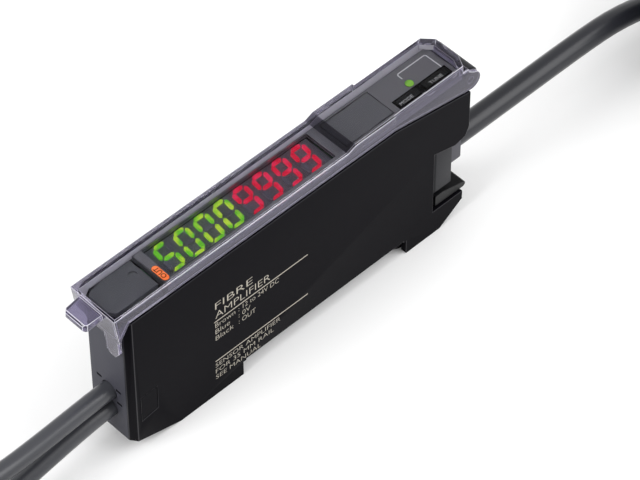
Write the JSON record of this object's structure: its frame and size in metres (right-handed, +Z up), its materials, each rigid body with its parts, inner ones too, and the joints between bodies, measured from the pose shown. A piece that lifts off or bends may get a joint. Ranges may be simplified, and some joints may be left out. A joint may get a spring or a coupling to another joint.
{
  "type": "fibre optic sensor amplifier",
  "caption": "Slim rail-mounted fibre optic sensor amplifier with a smoked hinged cover over a digital display and keys, fibre leads at the front and a power lead at the rear.",
  "frame": {"origin": "middle of the case's length and width, at the underside of the feet", "axes": "+X from the fibre end towards the cable end, +Y away from the removable side, +Z up"},
  "size_m": [0.3033, 0.0385, 0.0341],
  "materials": {
    "case_plastic": "fine spark-eroded grain",
    "panel_plastic": "smooth satin",
    "smoked_window": "clear smoked, gloss",
    "smoked_cover": "smoked polycarbonate, gloss",
    "display_plastic": "matt",
    "green_light": "lit diffuser",
    "red_light": "lit diffuser",
    "unlit_light": "unlit diffuser",
    "orange_light": "lit light pipe",
    "status_light": "lit light pipe",
    "grey_key": "satin",
    "black_key": "satin",
    "lever_plastic": "satin",
    "steel": "bright",
    "board": "solder mask",
    "chip": "moulded",
    "holder_plastic": "matt",
    "emitter": "clear tinted",
    "receiver": "clear tinted",
    "bush_rubber": "matt",
    "lead_copper": "insulated",
    "lock_plastic": "satin",
    "cable_jacket": "vinyl",
    "tie_plastic": "vinyl",
    "brown_wire": "vinyl",
    "blue_wire": "vinyl",
    "black_wire": "vinyl",
    "bare_copper": "tinned strands",
    "fibre_jacket": "polyethylene",
    "head_brass": "nickel plated"
  },
  "bodies": {
    "amplifier": {"case_body": "case_plastic", "side_cover": "case_plastic", "operation_panel": "panel_plastic", "display_window": "smoked_window", "display_block": "display_plastic", "green_segments": "green_light", "red_segments": "red_light", "dark_segments": "unlit_light", "output_lamp": "orange_light", "status_lamp": "status_light", "lever_pin": "steel", "panel_board": "board", "key_switches": "chip", "board_header": "chip", "main_board": "board", "board_chips": "chip", "fibre_holder": "holder_plastic", "light_emitter": "emitter", "light_receiver": "receiver", "cable_bush": "bush_rubber", "inner_leads": "lead_copper", "lock_spring": "steel", "power_cable": "cable_jacket", "cable_hank": "cable_jacket", "cable_tie": "tie_plastic", "wire_brown": "brown_wire", "wire_blue": "blue_wire", "wire_black": "black_wire", "wire_tips": "bare_copper", "fibre_upper": "fibre_jacket", "fibre_lower": "fibre_jacket", "fibre_hank_upper": "fibre_jacket", "fibre_hank_lower": "fibre_jacket", "fibre_tie": "tie_plastic", "fibre_head_upper": "head_brass", "fibre_head_lower": "head_brass"},
    "cover": {"protective_cover": "smoked_cover"},
    "lever": {"lock_lever": "lever_plastic"},
    "gate": {"fibre_gate": "steel"},
    "rocker": {"up_down_key": "grey_key"},
    "mode": {"mode_key": "black_key"},
    "tune": {"tune_key": "black_key"},
    "lock": {"rail_lock": "lock_plastic"}
  },
  "joints": [
    {"name": "cover_hinge", "type": "hinge", "parent": "amplifier", "child": "cover", "pos_m": [0.03775, 0, 0.0297], "axis": [0, 1, 0], "range_deg": [0, 150]},
    {"name": "lever_swing", "type": "hinge", "parent": "amplifier", "child": "lever", "pos_m": [-0.02675, 0, 0.0296], "axis": [0, 1, 0], "range_deg": [0, 6]},
    {"name": "gate_slide", "type": "slide", "parent": "amplifier", "child": "gate", "axis": [0, 0, 1], "range_m": [0, 0.00015]},
    {"name": "rocker_tilt", "type": "hinge", "parent": "amplifier", "child": "rocker", "pos_m": [0.0177, 0, 0.0311], "axis": [0, 1, 0], "range_deg": [-2.5, 2.5], "stiffness_Nm_per_rad": 0.1},
    {"name": "mode_press", "type": "slide", "parent": "amplifier", "child": "mode", "axis": [0, 0, -1], "range_m": [0, 0.0003], "stiffness_N_per_m": 1000},
    {"name": "tune_press", "type": "slide", "parent": "amplifier", "child": "tune", "axis": [0, 0, -1], "range_m": [0, 0.0003], "stiffness_N_per_m": 1000},
    {"name": "lock_pull", "type": "slide", "parent": "amplifier", "child": "lock", "axis": [1, 0, 0], "range_m": [0, 0.002], "stiffness_N_per_m": 1500, "deforming": ["lock_spring"]}
  ],
  "couplings": [
    {"joint": "lever_swing", "follows": "gate_slide", "rad_per_m": 698.13}
  ]
}
